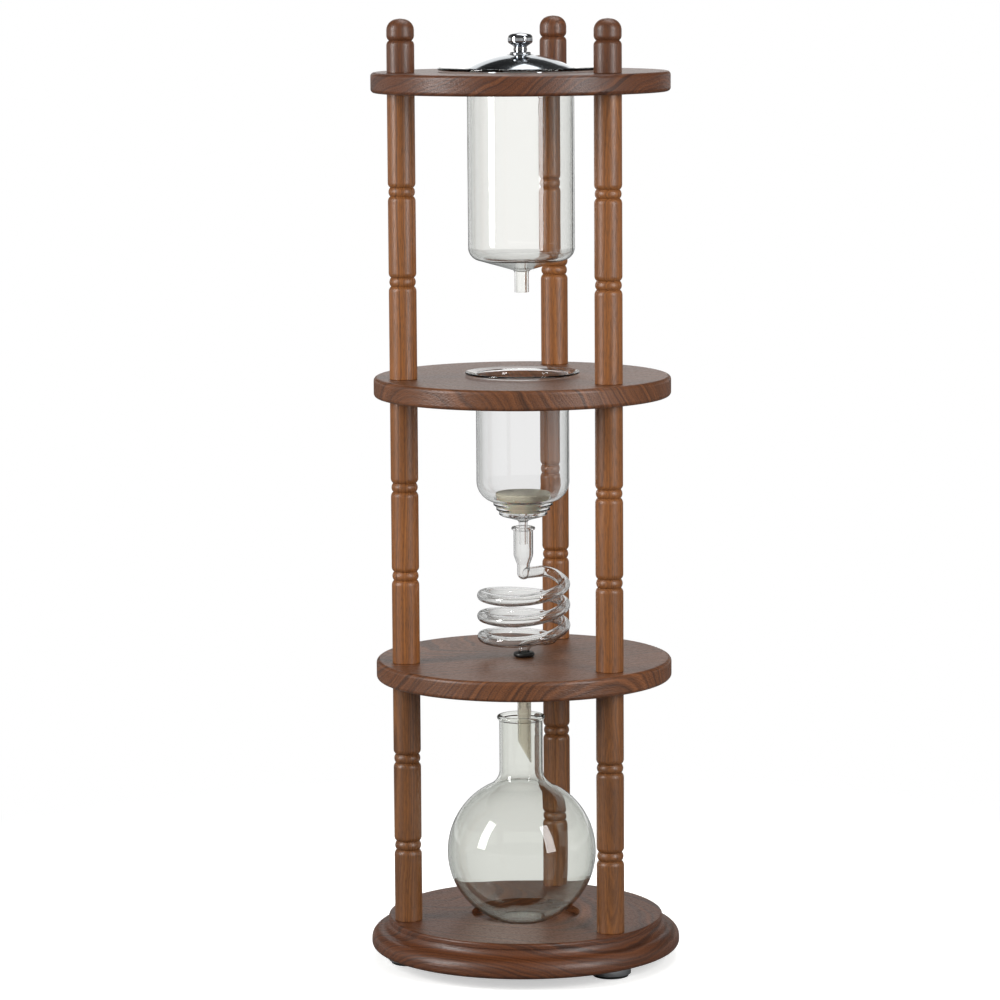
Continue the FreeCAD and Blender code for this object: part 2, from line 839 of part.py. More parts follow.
def spiral_path(end_level):
    """The centre line of the wound tube, from the elbow round the turns to the outlet."""
    lead_way = on_circle(1.0, right_side_angle + coil_lead_angle)
    elbow = FreeCAD.Vector(0, 0, elbow_level)
    lead_end = elbow + lead_way * (coil_radius - coil_lead_turn)
    edges = [Part.makeLine(elbow, lead_end)]
    here = lead_end
    way = lead_way
    for place, next_way in winding_stations():
        edges += biarc(here, way, place, next_way)
        here = place
        way = next_way
    inward = on_circle(1.0, right_side_angle + 180)
    down = FreeCAD.Vector(0, 0, -1)
    bend_start = on_circle(outlet_bend_radius, right_side_angle, return_level)
    bend_end = FreeCAD.Vector(0, 0, return_level - outlet_bend_radius)
    edges += biarc(here, way, bend_start, inward)
    edges.append(tangent_arc(bend_start, FreeCAD.Vector(0, 0, return_level), bend_end))
    edges.append(Part.makeLine(bend_end, bend_end + down * (bend_end.z - end_level)))
    return edges


def pipe(edges, radius):
    """A round rod along a centre line."""
    start = edges[0].valueAt(edges[0].FirstParameter)
    way = edges[0].tangentAt(edges[0].FirstParameter)
    section = Part.Wire(Part.makeCircle(radius, start, way))
    return Part.Wire(edges).makePipeShell([section], True, False)


def least_gap(edges, radius):
    """The least space between stretches of the tube that aren't neighbours."""
    step = radius / 2
    points = Part.Wire(edges).discretize(Distance=step)
    apart = int(math.pi * 2 * radius / step)
    nearest = min(
        points[i].distanceToPoint(points[j])
        for i in range(len(points))
        for j in range(i + apart, len(points)))
    return nearest - 2 * radius


def spiral_coil():
    """The spiral: socket, elbow, turns and outlet, blown from one glass tube."""
    outer = socket_body(0, socket_rim_top).fuse(pipe(spiral_path(outlet_end), tube_radius))
    hollow = socket_body(socket_wall, socket_rim_top + 1).fuse(
        pipe(spiral_path(outlet_end - 1), tube_radius - tube_wall))
    return outer.cut(hollow)


def spiral_ring():
    """The rubber ring on the outlet, on which the spiral stands on its shelf."""
    middle_radius = tube_radius + ring_clearance + ring_thickness / 2
    level = lower_shelf_top + seat_gap + ring_thickness / 2
    return Part.makeTorus(middle_radius, ring_thickness / 2, FreeCAD.Vector(0, 0, level))


def outlet_tube():
    """The short silicone tube on the spiral's outlet, its lower end cut on the slant."""
    top = lower_shelf_top - sleeve_top_drop
    bottom = top - sleeve_length
    tube = cylinder(sleeve_radius, bottom, top).cut(
        cylinder(tube_radius + sleeve_clearance, bottom, top))
    reach = 2 * sleeve_radius
    corners = [
        vector(-reach, bottom - reach),
        vector(reach, bottom - reach),
        vector(reach, bottom - sleeve_cut_rise / 2),
        vector(-reach, bottom + sleeve_cut_rise * 1.5),
    ]
    wedge = Part.Face(Part.makePolygon(corners + corners[:1])).extrude(FreeCAD.Vector(0, 2 * reach, 0))
    wedge.translate(FreeCAD.Vector(0, -reach, 0))
    wedge.rotate(FreeCAD.Vector(0, 0, 0), FreeCAD.Vector(0, 0, 1), right_side_angle)
    return tube.cut(wedge)


# Flask

def flask():
    """The flask: flat bottom, round body, straight neck and a beaded rim."""
    bottom = base_top - recess_depth + seat_gap
    centre = bottom + math.sqrt(flask_radius ** 2 - flask_flat_radius ** 2)
    top = bottom + flask_height
    rim_bottom = top - flask_rim_height
    blend_radius = flask_neck_radius + flask_neck_blend
    blend_level = centre + math.sqrt((flask_radius + flask_neck_blend) ** 2 - blend_radius ** 2)

    def blend_points(thinner):
        """Where the body meets the blend, and the blend's middle, for one of the walls."""
        way = vector(blend_radius, blend_level - centre).normalize()
        touch = vector(0, centre) + way * (flask_radius - thinner)
        middle_way = (FreeCAD.Vector(-1, 0, 0) - way).normalize()
        middle = vector(blend_radius, blend_level) + middle_way * (flask_neck_blend + thinner)
        return touch, middle

    outer_touch, outer_middle = blend_points(0)
    inner_touch, inner_middle = blend_points(flask_wall)
    inner_sphere = flask_radius - flask_wall
    floor = bottom + flask_wall
    inner_flat = math.sqrt(inner_sphere ** 2 - (centre - floor) ** 2)
    inner_neck = flask_neck_radius - flask_wall
    body = turned([
        (0, bottom),
        (flask_flat_radius, bottom),
        ("via", flask_radius, centre),
        (outer_touch.x, outer_touch.z),
        ("via", outer_middle.x, outer_middle.z),
        (flask_neck_radius, blend_level),
        (flask_neck_radius, rim_bottom, flask_wall / 2),
        (flask_rim_radius, rim_bottom + flask_rim_radius - flask_neck_radius, flask_rim_round),
        (flask_rim_radius, top, flask_rim_round),
        (inner_neck, top, flask_rim_round / 2),
        (inner_neck, blend_level),
        ("via", inner_middle.x, inner_middle.z),
        (inner_touch.x, inner_touch.z),
        ("via", inner_sphere, centre),
        (inner_flat, floor),
        (0, floor),
    ])
    return body.translated(FreeCAD.Vector(flask_shift[0], flask_shift[1], 0))


def build_vessels():
    """What the stand carries, from the top down."""
    save("water_beaker", water_beaker())
    save("lid_dome", lid_dome())
    save("lid_knob", lid_knob())
    save("lid_washer", lid_washer())
    save("lid_screw", lid_screw())
    save("coffee_beaker", coffee_beaker())
    save("filter_disc", filter_disc())
    save("filter_gasket", filter_gasket())
    save("spiral_coil", spiral_coil())
    save("spiral_ring", spiral_ring())
    save("outlet_tube", outlet_tube())
    save("flask", flask())


build_stand()
build_vessels()
gap = least_gap(spiral_path(outlet_end), tube_radius)
print(f"least gap of the wound tube to itself: {gap:.2f} mm")
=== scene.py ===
import math

import bmesh
import bpy
from mathutils import Matrix, Vector

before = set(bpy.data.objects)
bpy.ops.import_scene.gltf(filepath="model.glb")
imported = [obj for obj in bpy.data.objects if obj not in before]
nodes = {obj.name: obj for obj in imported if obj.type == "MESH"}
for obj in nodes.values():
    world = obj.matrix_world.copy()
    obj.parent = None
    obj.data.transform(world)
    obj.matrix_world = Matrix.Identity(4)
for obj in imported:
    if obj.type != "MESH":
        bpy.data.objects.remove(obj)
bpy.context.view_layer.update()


# Camera
# A long lens some 3.7 m away and a little above the tower's top, 16 degrees round to the
# right of the front, as in the photograph. It looks slightly down.

camera_azimuth = math.radians(15.916)
camera_distance = 3.7427
camera_height = 0.9253
camera_turn = math.radians(0.3254)
camera_pitch = math.radians(7.5528)
camera_roll = math.radians(-0.3937)
camera_lens = 147.49
camera_sensor = 36.0
camera_reach = 60.0

facing = Matrix.Rotation(camera_azimuth + camera_turn, 3, "Z")
side = facing @ Vector((1, 0, 0))
ahead = facing @ Vector((0, math.cos(camera_pitch), -math.sin(camera_pitch)))
above = facing @ Vector((0, math.sin(camera_pitch), math.cos(camera_pitch)))
rolled_side = side * math.cos(camera_roll) + above * math.sin(camera_roll)
rolled_above = above * math.cos(camera_roll) - side * math.sin(camera_roll)

camera_data = bpy.data.cameras.new("camera")
camera_data.lens = camera_lens
camera_data.sensor_width = camera_sensor
camera_data.clip_end = camera_reach
camera = bpy.data.objects.new("camera", camera_data)
camera_place = Matrix((rolled_side, rolled_above, -ahead)).transposed().to_4x4()
camera_place.translation = (
    camera_distance * math.sin(camera_azimuth),
    -camera_distance * math.cos(camera_azimuth),
    camera_height,
)
camera.matrix_world = camera_place
bpy.context.scene.collection.objects.link(camera)
bpy.context.scene.camera = camera


# Room
# A white studio: a pale paper floor that keeps the tower's soft shadow, a bright backdrop
# all round at the height of the horizon, and a darker ceiling that polished metal mirrors.

def linear(code):
    """An sRGB hex colour as a linear one."""
    levels = [int(code[i:i + 2], 16) / 255 for i in (0, 2, 4)]
    red, green, blue = (
        level / 12.92 if level <= 0.04045 else ((level + 0.055) / 1.055) ** 2.4
        for level in levels)
    return (red, green, blue, 1.0)


def grey(level):
    """A neutral linear colour."""
    return (level, level, level, 1.0)


def add(tree, kind, inputs=None, stops=(), **settings):
    """Add a node and set its settings. Each named input gets a value or a link, and a
    colour ramp gets its stops as (place, colour)."""
    node = tree.nodes.new(kind)
    for name, value in settings.items():
        setattr(node, name, value)
    for name, value in (inputs or {}).items():
        if isinstance(value, bpy.types.NodeSocket):
            tree.links.new(value, node.inputs[name])
        else:
            node.inputs[name].default_value = value
    if stops:
        elements = node.color_ramp.elements
        while len(elements) < len(stops):
            elements.new(0.5)
        for element, (place, colour) in zip(elements, stops):
            element.position = place
            element.color = colour
    return node


ambient_colour = "f6f6f4"
ambient_strength = 0.31
backdrop_white = 1.0
behind_glass_strength = 1.08

# What polished metal mirrors, from straight down at 0 past the horizon at 0.5 to straight
# up at 1.
mirrored_heights = [
    (0.0, grey(0.10)),
    (0.44, grey(0.16)),
    (0.495, grey(0.60)),
    (0.51, grey(1.25)),
    (0.53, grey(1.00)),
    (0.555, (0.31, 0.31, 0.27, 1.0)),
    (0.60, (0.21, 0.21, 0.18, 1.0)),
    (0.66, grey(0.13)),
    (0.85, grey(0.05)),
    (1.0, grey(0.16)),
]
# Lighter and darker stretches of the mirrored room, once round it. 0.5 is straight behind
# the tower.
mirrored_stretches = [
    (0.0, grey(0.75)),
    (0.10, grey(1.0)),
    (0.17, grey(0.35)),
    (0.30, grey(1.15)),
    (0.40, grey(0.45)),
    (0.52, grey(0.95)),
    (0.60, grey(0.40)),
    (0.72, grey(1.10)),
    (0.82, grey(0.40)),
    (0.92, grey(1.0)),
    (1.0, grey(0.75)),
]
# What glass shows, once round the room: white behind it and dark at the sides and in
# front, which draws the edges of its walls.
seen_through_stretches = [
    (0.0, grey(0.12)),
    (0.24, grey(0.22)),
    (0.31, grey(1.0)),
    (0.60, grey(1.0)),
    (0.67, grey(0.22)),
    (1.0, grey(0.12)),
]

world = bpy.data.worlds.new("studio")
bpy.context.scene.world = world
world.use_nodes = True
sky = world.node_tree
sky.nodes.clear()
direction = add(sky, "ShaderNodeTexCoord").outputs["Generated"]
axes = add(sky, "ShaderNodeSeparateXYZ", {"Vector": direction})
height_share = add(sky, "ShaderNodeMapRange", {
    "Value": axes.outputs["Z"], "From Min": -1.0, "From Max": 1.0})
around = add(sky, "ShaderNodeMath", {
    0: axes.outputs["X"], 1: axes.outputs["Y"]}, operation="ARCTAN2")
around_share = add(sky, "ShaderNodeMapRange", {
    "Value": around.outputs["Value"], "From Min": -math.pi, "From Max": math.pi})
by_height = add(sky, "ShaderNodeValToRGB", {
    "Fac": height_share.outputs["Result"]}, mirrored_heights)
by_stretch = add(sky, "ShaderNodeValToRGB", {
    "Fac": around_share.outputs["Result"]}, mirrored_stretches)
mirrored = add(sky, "ShaderNodeMix", {
    "Factor": 1.0, "A": by_height.outputs["Color"], "B": by_stretch.outputs["Color"]},
    data_type="RGBA", blend_type="MULTIPLY")
seen_through = add(sky, "ShaderNodeValToRGB", {
    "Fac": around_share.outputs["Result"]}, seen_through_stretches)
ambient = add(sky, "ShaderNodeBackground", {
    "Color": linear(ambient_colour), "Strength": ambient_strength})
reflected = add(sky, "ShaderNodeBackground", {
    "Color": mirrored.outputs["Result"], "Strength": 1.0})
behind_glass = add(sky, "ShaderNodeBackground", {
    "Color": seen_through.outputs["Color"], "Strength": behind_glass_strength})
white = add(sky, "ShaderNodeBackground", {"Color": grey(1.0), "Strength": backdrop_white})
rays = add(sky, "ShaderNodeLightPath")
plain = add(sky, "ShaderNodeMixShader", {
    "Fac": rays.outputs["Is Glossy Ray"],
    1: ambient.outputs["Background"], 2: reflected.outputs["Background"]})
through = add(sky, "ShaderNodeMixShader", {
    "Fac": rays.outputs["Is Transmission Ray"],
    1: plain.outputs["Shader"], 2: behind_glass.outputs["Background"]})
whole = add(sky, "ShaderNodeMixShader", {
    "Fac": rays.outputs["Is Camera Ray"],
    1: through.outputs["Shader"], 2: white.outputs["Background"]})
add(sky, "ShaderNodeOutputWorld", {"Surface": whole.outputs["Shader"]})

floor_size = 12.0
paper_colour = "f2f2f0"
paper_glow_strength = 0.50
paper_refracted_strength = 0.86
paper_unseen_level = 0.20
# The shadowed paper turns into the white backdrop between these distances from the middle.
paper_fade_start = 0.30
paper_fade_end = 0.85

floor_mesh = bpy.data.meshes.new("floor")
bm = bmesh.new()
bmesh.ops.create_grid(bm, x_segments=1, y_segments=1, size=floor_size / 2)
bm.to_mesh(floor_mesh)
bm.free()
floor = bpy.data.objects.new("floor", floor_mesh)
bpy.context.scene.collection.objects.link(floor)
floor_material = bpy.data.materials.new("paper_floor")
floor_material.use_nodes = True
paper = floor_material.node_tree
paper.nodes.clear()
paper_place = add(paper, "ShaderNodeTexCoord").outputs["Object"]
paper_reach = add(paper, "ShaderNodeVectorMath", {0: paper_place}, operation="LENGTH")
paper_edge = add(paper, "ShaderNodeMapRange", {
    "Value": paper_reach.outputs["Value"],
    "From Min": paper_fade_start, "From Max": paper_fade_end},
    interpolation_type="SMOOTHSTEP")
paper_lit = add(paper, "ShaderNodeBsdfDiffuse", {"Color": linear(paper_colour)})
paper_glow = add(paper, "ShaderNodeEmission", {
    "Color": grey(1.0), "Strength": paper_glow_strength})
paper_near = add(paper, "ShaderNodeAddShader", {
    0: paper_lit.outputs["BSDF"], 1: paper_glow.outputs["Emission"]})
paper_white = add(paper, "ShaderNodeEmission", {
    "Color": grey(1.0), "Strength": backdrop_white})
paper_seen = add(paper, "ShaderNodeMixShader", {
    "Fac": paper_edge.outputs["Result"],
    1: paper_near.outputs["Shader"], 2: paper_white.outputs["Emission"]})
paper_dim = add(paper, "ShaderNodeBsdfDiffuse", {"Color": grey(paper_unseen_level)})
paper_refracted = add(paper, "ShaderNodeEmission", {
    "Color": grey(1.0), "Strength": paper_refracted_strength})
paper_rays = add(paper, "ShaderNodeLightPath")
paper_unseen = add(paper, "ShaderNodeMixShader", {
    "Fac": paper_rays.outputs["Is Transmission Ray"],
    1: paper_dim.outputs["BSDF"], 2: paper_refracted.outputs["Emission"]})
paper_whole = add(paper, "ShaderNodeMixShader", {
    "Fac": paper_rays.outputs["Is Camera Ray"],
    1: paper_unseen.outputs["Shader"], 2: paper_seen.outputs["Shader"]})
add(paper, "ShaderNodeOutputMaterial", {"Surface": paper_whole.outputs["Shader"]})
floor_mesh.materials.append(floor_material)

# Each lamp's name, place, width and height, and power in watts.
lamps = [
    ("left_softbox", (-1.9, -1.6, 1.35), (0.7, 1.9), 66.0),
    ("right_softbox", (2.1, -1.1, 1.25), (0.7, 1.9), 52.0),
    ("top_softbox", (0.2, 0.5, 2.5), (1.5, 1.1), 16.0),
    ("back_softbox", (-0.8, 2.3, 1.5), (1.4, 1.2), 6.0),
]
lamp_aim = Vector((0, 0, 0.45))
for lamp_name, lamp_place, (lamp_width, lamp_height), lamp_power in lamps:
    lamp_data = bpy.data.lights.new(lamp_name, "AREA")
    lamp_data.shape = "RECTANGLE"
    lamp_data.size = lamp_width
    lamp_data.size_y = lamp_height
    lamp_data.energy = lamp_power
    lamp = bpy.data.objects.new(lamp_name, lamp_data)
    lamp.location = lamp_place
    lamp.rotation_euler = (lamp_aim - Vector(lamp_place)).to_track_quat("-Z", "Y").to_euler()
    lamp.visible_camera = False
    lamp.visible_transmission = False
    bpy.context.scene.collection.objects.link(lamp)

bpy.context.scene.view_settings.view_transform = "Standard"


# Boards
# The base and the three shelves: flat-sawn dark walnut, turned on the edge and sprayed with
# a satin lacquer that leaves the pores open. Each board's grain runs its own way, so the
# front edges show slanting growth lines and the tops show fine short pores.

def new_material(name):
    """An empty material with its shader, and the object's own coordinates."""
    material = bpy.data.materials.new(name)
    material.use_nodes = True
    tree = material.node_tree
    tree.nodes.clear()
    shader = add(tree, "ShaderNodeBsdfPrincipled")
    add(tree, "ShaderNodeOutputMaterial", {"Surface": shader.outputs["BSDF"]})
    return material, tree, shader, add(tree, "ShaderNodeTexCoord").outputs["Object"]


def paint(node_name, material):
    """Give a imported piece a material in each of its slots."""
    mesh = nodes[node_name].data
    for index in range(len(mesh.materials)):
        mesh.materials[index] = material


# The rings are bent by up to 30 mm, in waves some 450 mm long and 110 mm across.
ring_wander = 0.030
wander_waves_per_metre = (2.2, 9.0, 9.0)
# A dark line comes with about every fourth ring.
dark_lines_per_ring = 0.23
dark_line_reach = 0.022
# The noise at a pore's floor and at its rim, and the finish on each: the lacquer sinks into
# the pores and is duller there.
pore_floor, pore_rim = 0.34, 0.52
pore_floor_roughness, pore_rim_roughness = 0.56, 0.40
pore_relief_strength = 0.8
# Patches some 90 mm across are up to 14 % darker or 12 % lighter.
patches_per_metre = 11.0
patch_darkest, patch_lightest = 0.86, 1.12
lacquer_weight = 0.15
lacquer_roughness = 0.28


def walnut(name, turn, offset, tones, ring_spacing, line_share, pore_width, pore_length,
           pore_depth, pore_share):
    """Lacquered walnut. The pattern's X axis runs along the grain; the growth rings are
    round an axis well below the piece, bent by slow noise, and the pores are noise drawn
    out along the grain. line_share and pore_share are how much light a dark line and a
    pore leave."""
    material, tree, shader, place = new_material(name)
    grain = add(tree, "ShaderNodeMapping", {
        "Vector": place, "Location": offset, "Rotation": turn})
    along = grain.outputs["Vector"]
    slow = add(tree, "ShaderNodeMapping", {"Vector": along, "Scale": wander_waves_per_metre})
    drift = add(tree, "ShaderNodeTexNoise", {
        "Vector": slow.outputs["Vector"], "Scale": 1.0, "Detail": 3.0})
    axes = add(tree, "ShaderNodeSeparateXYZ", {"Vector": along})
    across = add(tree, "ShaderNodeCombineXYZ", {
        "Y": axes.outputs["Y"], "Z": axes.outputs["Z"]})
    distance = add(tree, "ShaderNodeVectorMath", {0: across.outputs["Vector"]},
                   operation="LENGTH")
    bent = add(tree, "ShaderNodeMath", {
        0: drift.outputs["Fac"], 1: ring_wander, 2: distance.outputs["Value"]},
        operation="MULTIPLY_ADD")
    rings = add(tree, "ShaderNodeMath", {0: bent.outputs["Value"], 1: ring_spacing},
                operation="DIVIDE")
    ring_noise = add(tree, "ShaderNodeTexNoise", {
        "W": rings.outputs["Value"], "Scale": 1.0, "Detail": 4.0, "Roughness": 0.65},
        noise_dimensions="1D")
    ring_tone = add(tree, "ShaderNodeValToRGB", {"Fac": ring_noise.outputs["Fac"]}, tones)

    dark_rings = add(tree, "ShaderNodeMath", {
        0: rings.outputs["Value"], 1: dark_lines_per_ring}, operation="MULTIPLY")
    dark_line = add(tree, "ShaderNodeTexNoise", {
        "W": dark_rings.outputs["Value"], "Scale": 1.0, "Detail": 1.0},
        noise_dimensions="1D")
    off_line = add(tree, "ShaderNodeMath", {0: dark_line.outputs["Fac"], 1: 0.5},
                   operation="SUBTRACT")
    line_distance = add(tree, "ShaderNodeMath", {0: off_line.outputs["Value"]},
                        operation="ABSOLUTE")
    line_tone = add(tree, "ShaderNodeMapRange", {
        "Value": line_distance.outputs["Value"], "From Min": 0.0,
        "From Max": dark_line_reach, "To Min": line_share, "To Max": 1.0})
    lined = add(tree, "ShaderNodeMix", {
        "Factor": 1.0, "A": ring_tone.outputs["Color"], "B": line_tone.outputs["Result"]},
        data_type="RGBA", blend_type="MULTIPLY")

    fine = add(tree, "ShaderNodeMapping", {
        "Vector": along, "Scale": (1 / pore_length, 1 / pore_width, 1 / pore_width)})
    pores = add(tree, "ShaderNodeTexNoise", {
        "Vector": fine.outputs["Vector"], "Scale": 1.0, "Detail": 2.0})
    pore_tone = add(tree, "ShaderNodeMapRange", {
        "Value": pores.outputs["Fac"], "From Min": pore_floor, "From Max": pore_rim,
        "To Min": pore_share, "To Max": 1.0})
    pored = add(tree, "ShaderNodeMix", {
        "Factor": 1.0, "A": lined.outputs["Result"], "B": pore_tone.outputs["Result"]},
        data_type="RGBA", blend_type="MULTIPLY")
    patches = add(tree, "ShaderNodeTexNoise", {
        "Vector": along, "Scale": patches_per_metre, "Detail": 2.0})
    patch_tone = add(tree, "ShaderNodeMapRange", {
        "Value": patches.outputs["Fac"], "From Min": 0.3, "From Max": 0.7,
        "To Min": patch_darkest, "To Max": patch_lightest})
    colour = add(tree, "ShaderNodeMix", {
        "Factor": 1.0, "A": pored.outputs["Result"], "B": patch_tone.outputs["Result"]},
        data_type="RGBA", blend_type="MULTIPLY")
    tree.links.new(colour.outputs["Result"], shader.inputs["Base Color"])

    finish = add(tree, "ShaderNodeMapRange", {
        "Value": pores.outputs["Fac"], "From Min": pore_floor, "From Max": pore_rim,
        "To Min": pore_floor_roughness, "To Max": pore_rim_roughness})
    tree.links.new(finish.outputs["Result"], shader.inputs["Roughness"])
    relief = add(tree, "ShaderNodeBump", {
        "Height": pores.outputs["Fac"], "Strength": pore_relief_strength,
        "Distance": pore_depth})
    tree.links.new(relief.outputs["Normal"], shader.inputs["Normal"])
    shader.inputs["Coat Weight"].default_value = lacquer_weight
    shader.inputs["Coat Roughness"].default_value = lacquer_roughness
    return material


board_tones = [
    (0.25, linear("3e2313")),
    (0.42, linear("5f381e")),
    (0.55, linear("704325")),
    (0.75, linear("82502d")),
]
# Darker tones: the base's own, and on the top shelf painted shade against the lamps close
# above it.
dark_and_shaded_board_tones = [
    (0.25, linear("33190b")),
    (0.42, linear("512b14")),
    (0.55, linear("5f3419")),
    (0.75, linear("6f4020")),
]
# Rings 3 mm apart, and pores 1.1 mm wide and 7 mm long. Real pores are a few tenths of a
# millimetre wide, too fine to show in the render.
board_figure = {
    "ring_spacing": 0.0030,
    "line_share": 0.62,
    "pore_width": 0.0011,
    "pore_length": 0.0070,
    "pore_depth": 0.0004,
    "pore_share": 0.72,
}
# The log's axis is tilted a little from the board, so that the edges show slanting lines.
log_tilt = (0.35, 0.12)
# Each board's tones, the way its grain runs, and where it was cut from.
boards = {
    "base_plate": (dark_and_shaded_board_tones, math.radians(28), (0.02, 0.03, -0.13)),
    "lower_shelf": (board_tones, math.radians(-52), (0.05, 0.02, -0.36)),
    "middle_shelf": (board_tones, math.radians(38), (0.01, -0.04, -0.64)),
    # The top shelf's darker tones are painted shade, offsetting the lamps that hang close
    # above it.
    "top_shelf": (dark_and_shaded_board_tones, math.radians(80), (-0.03, 0.05, -0.90)),
}
for board_name, (tones, board_turn, board_offset) in boards.items():
    paint(board_name, walnut(f"walnut_{board_name}", (*log_tilt, board_turn), board_offset,
                             tones, **board_figure))


# Columns and finials
# Nine spindles and three finials turned from straight-grained walnut, sanded, stained and
# lacquered: the columns lighter than the boards, the lowest tier a shade darker, and the
# finials dark, their tones darkened further as painted shade against the lamps close above
# them. The grain runs up each one, and no two are cut from the same place.

column_tones = [
    (0.25, linear("5c3617")),
    (0.40, linear("7b4a22")),
    (0.58, linear("8c5628")),
    (0.78, linear("9d6532")),
]
lower_column_tones = [
    (0.25, linear("4f2e14")),
    (0.40, linear("6a411f")),
    (0.58, linear("794b24")),
    (0.78, linear("88582d")),
]
# The finials' own dark walnut, darkened further to offset the lamps close above them:
# painted shade.
finial_dark_and_shaded_tones = [
    (0.25, linear("40230f")),
    (0.42, linear("573119")),
    (0.58, linear("653b1f")),
    (0.78, linear("754728")),
]
# Closer rings than the boards', and small dark flecks 0.7 mm wide and 7.5 mm long.
column_figure = {
    "ring_spacing": 0.0013,
    "line_share": 0.78,
    "pore_width": 0.0007,
    "pore_length": 0.0075,
    "pore_depth": 0.0002,
    "pore_share": 0.66,
}
upright = (0.0, math.radians(90), 0.0)
turned_tones = {
    "lower_column": lower_column_tones,
    "middle_column": column_tones,
    "upper_column": column_tones,
    "finial": finial_dark_and_shaded_tones,
}
turned_pieces = [(f"{kind}_{spot}", tones) for kind, tones in turned_tones.items()
                 for spot in ("left", "right", "rear")]
for number, (piece_name, tones) in enumerate(turned_pieces):
    cut_from = (0.37 * number, 0.053 * (number % 5) - 0.09, 0.041 * (number % 3) + 0.02)
    paint(piece_name, walnut(f"walnut_{piece_name}", upright, cut_from, tones,
                             **column_figure))


# Screwed joints
# Zinc-plated studs and screws, and machined brass inserts. They sit inside the wood, and
# only the screw in each foot and the one under the lid can be seen.

def plain_metal(name, colour, roughness):
    """A worked metal. Wiping and handling leave marks about 1 mm apart, drawn that coarse so
    that they show, which make its shine a little uneven."""
    marks_per_metre = 900.0
    material, tree, shader, place = new_material(name)
    shader.inputs["Base Color"].default_value = linear(colour)
    shader.inputs["Metallic"].default_value = 1.0
    marks = add(tree, "ShaderNodeTexNoise", {
        "Vector": place, "Scale": marks_per_metre, "Detail": 2.0})
    finish = add(tree, "ShaderNodeMapRange", {
        "Value": marks.outputs["Fac"], "To Min": roughness * 0.8,
        "To Max": roughness * 1.25})
    tree.links.new(finish.outputs["Result"], shader.inputs["Roughness"])
    return material


zinc_plate = plain_metal("zinc_plate", "b9bcc0", 0.32)
machined_brass = plain_metal("machined_brass", "c9a45c", 0.28)
for joint_name in ("base", "lower_shelf", "middle_shelf", "top_shelf"):
    paint(f"{joint_name}_studs", zinc_plate)
    paint(f"{joint_name}_inserts", machined_brass)
for screw_name in ("foot_screws", "lid_screw", "lid_washer"):
    paint(screw_name, zinc_plate)


# Feet and ring
# Each foot is a pressed, chrome-plated cup with a moulded black rubber pad in it. The ring
# under the glass spiral is the same soft rubber, matt with a fine grit.

rubber_colour = "151515"
# Grit about 0.7 mm apart, coarser than the real one so that it shows.
rubber_grit_per_metre = 1400.0
rubber_grit_depth = 0.0002

chrome_plate = plain_metal("chrome_plate", "d8dadd", 0.07)
rubber, rubber_tree, rubber_shader, rubber_place = new_material("black_rubber")
rubber_shader.inputs["Base Color"].default_value = linear(rubber_colour)
rubber_grit = add(rubber_tree, "ShaderNodeTexNoise", {
    "Vector": rubber_place, "Scale": rubber_grit_per_metre, "Detail": 3.0})
rubber_finish = add(rubber_tree, "ShaderNodeMapRange", {
    "Value": rubber_grit.outputs["Fac"], "To Min": 0.36, "To Max": 0.6})
rubber_tree.links.new(rubber_finish.outputs["Result"], rubber_shader.inputs["Roughness"])
rubber_relief = add(rubber_tree, "ShaderNodeBump", {
    "Height": rubber_grit.outputs["Fac"], "Strength": 0.2, "Distance": rubber_grit_depth})
rubber_tree.links.new(rubber_relief.outputs["Normal"], rubber_shader.inputs["Normal"])
for spot in ("left", "right", "rear"):
    paint(f"foot_cup_{spot}", chrome_plate)
    paint(f"foot_pad_{spot}", rubber)
paint("spiral_ring", rubber)


# Glass
# The two beakers, the spiral and the flask are blown from borosilicate tube: clear, with a
# faint grey-green tint. Their walls are painted darker where they are seen edge on: partly
# the tint through more glass, partly painted shade for the dark room refracted and reflected
# there.

glass_ior = 1.47
# Blowing leaves slow waves in the wall, some 40 mm long.
glass_waves_per_metre = 26.0
glass_wave_depth = 0.002
lamp_light_let_through = "eef1ef"


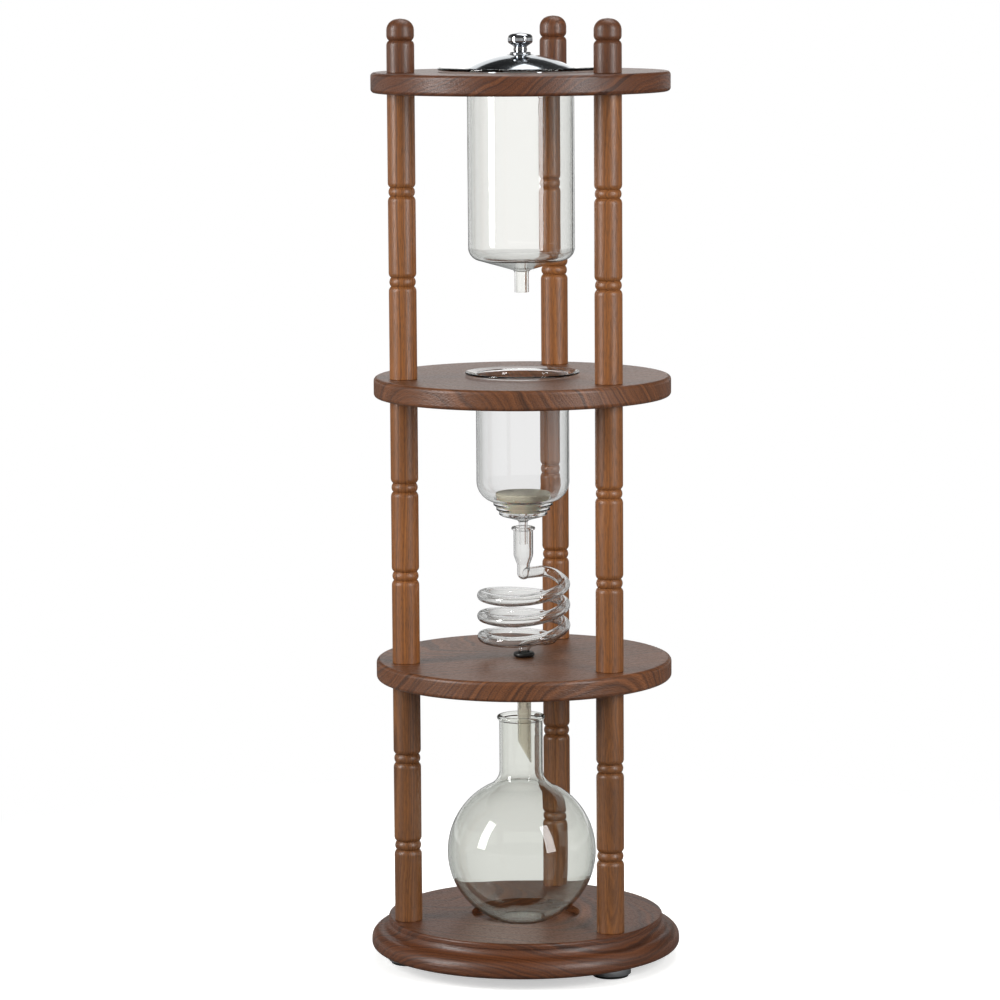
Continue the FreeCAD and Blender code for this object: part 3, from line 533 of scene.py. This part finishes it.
def borosilicate(name, clear, edge, edge_power):
    """Clear glass whose colour is painted darker towards its edges: partly the tint through
    more glass, partly painted shade for the dark room refracted and reflected there. Rays
    from the lamps pass through it, so that it doesn't cast the shadow of a solid body."""
    material, tree, shader, place = new_material(name)
    edge_on = add(tree, "ShaderNodeLayerWeight", {"Blend": 0.5}).outputs["Facing"]
    edge_shade_share = add(tree, "ShaderNodeMath", {0: edge_on, 1: edge_power}, operation="POWER")
    # The colour turns from clear to the edge colour as the wall is seen more edge on: partly
    # tint through more glass, partly painted shade.
    tint = add(tree, "ShaderNodeMix", {
        "Factor": edge_shade_share.outputs["Value"], "A": linear(clear), "B": linear(edge)},
        data_type="RGBA")
    tree.links.new(tint.outputs["Result"], shader.inputs["Base Color"])
    shader.inputs["Roughness"].default_value = 0.0
    shader.inputs["IOR"].default_value = glass_ior
    shader.inputs["Transmission Weight"].default_value = 1.0
    waves = add(tree, "ShaderNodeTexNoise", {
        "Vector": place, "Scale": glass_waves_per_metre, "Detail": 1.0})
    relief = add(tree, "ShaderNodeBump", {
        "Height": waves.outputs["Fac"], "Strength": 0.08, "Distance": glass_wave_depth})
    tree.links.new(relief.outputs["Normal"], shader.inputs["Normal"])
    let_through = add(tree, "ShaderNodeBsdfTransparent", {
        "Color": linear(lamp_light_let_through)})
    to_lamp = add(tree, "ShaderNodeLightPath").outputs["Is Shadow Ray"]
    both = add(tree, "ShaderNodeMixShader", {
        "Fac": to_lamp, 1: shader.outputs["BSDF"], 2: let_through.outputs["BSDF"]})
    output = next(node for node in tree.nodes if node.type == "OUTPUT_MATERIAL")
    tree.links.new(both.outputs["Shader"], output.inputs["Surface"])
    return material


# The beakers' walls are thin and clear, the flask's a little greyer, and the narrow tube of
# the spiral is painted nearly black along its sides, as painted shade for the dark room it
# refracts there.
paint("water_beaker", borosilicate("beaker_glass", "fbfbf9", "737975", 1.9))
paint("coffee_beaker", borosilicate("coffee_glass", "ffffff", "868c88", 2.1))
paint("flask", borosilicate("flask_glass", "f6f7f3", "8d938d", 2.1))
paint("spiral_coil", borosilicate("spiral_glass", "fcfcfb", "20262a", 1.7))


# Lid
# A dome spun from thin steel sheet and chrome plated, with a turned and plated knob. Years
# of wiping leave it bright, with the faintest haze, and the knob is the brighter of the two.

paint("lid_dome", plain_metal("lid_chrome", "aab0b5", 0.10))
paint("lid_knob", plain_metal("knob_chrome", "c9cbcf", 0.03))


# Filter
# A disc of unglazed grey-beige ceramic, pressed and fired, with a dull sandy surface. It is
# plugged into a soft gasket of cream silicone.

# Sand about 1 mm apart, coarser than the real one so that it shows.
ceramic_sand_per_metre = 900.0
ceramic_sand_depth = 0.0004
ceramic_tones = [
    (0.30, linear("8f8879")),
    (0.55, linear("aaa392")),
    (0.75, linear("b9b2a2")),
]
ceramic_roughness = 0.85

ceramic, ceramic_tree, ceramic_shader, ceramic_place = new_material("unglazed_ceramic")
ceramic_sand = add(ceramic_tree, "ShaderNodeTexNoise", {
    "Vector": ceramic_place, "Scale": ceramic_sand_per_metre, "Detail": 3.0})
ceramic_colour = add(ceramic_tree, "ShaderNodeValToRGB", {
    "Fac": ceramic_sand.outputs["Fac"]}, ceramic_tones)
ceramic_tree.links.new(ceramic_colour.outputs["Color"], ceramic_shader.inputs["Base Color"])
ceramic_shader.inputs["Roughness"].default_value = ceramic_roughness
ceramic_relief = add(ceramic_tree, "ShaderNodeBump", {
    "Height": ceramic_sand.outputs["Fac"], "Strength": 0.5, "Distance": ceramic_sand_depth})
ceramic_tree.links.new(ceramic_relief.outputs["Normal"], ceramic_shader.inputs["Normal"])
paint("filter_disc", ceramic)

silicone, _, silicone_shader, _ = new_material("cream_silicone")
silicone_shader.inputs["Base Color"].default_value = linear("b9b09c")
silicone_shader.inputs["Roughness"].default_value = 0.45
silicone_shader.inputs["Subsurface Weight"].default_value = 0.3
silicone_shader.inputs["Subsurface Scale"].default_value = 0.002
paint("filter_gasket", silicone)


# Outlet tube
# A short length of extruded silicone tube, pushed on the spiral's outlet and cut off on the
# slant. It is cream and cloudy, and lets the light through.

tube, _, tube_shader, _ = new_material("translucent_silicone")
tube_shader.inputs["Base Color"].default_value = linear("f3eee2")
tube_shader.inputs["Roughness"].default_value = 0.25
tube_shader.inputs["IOR"].default_value = 1.41
tube_shader.inputs["Transmission Weight"].default_value = 0.85
paint("outlet_tube", tube)
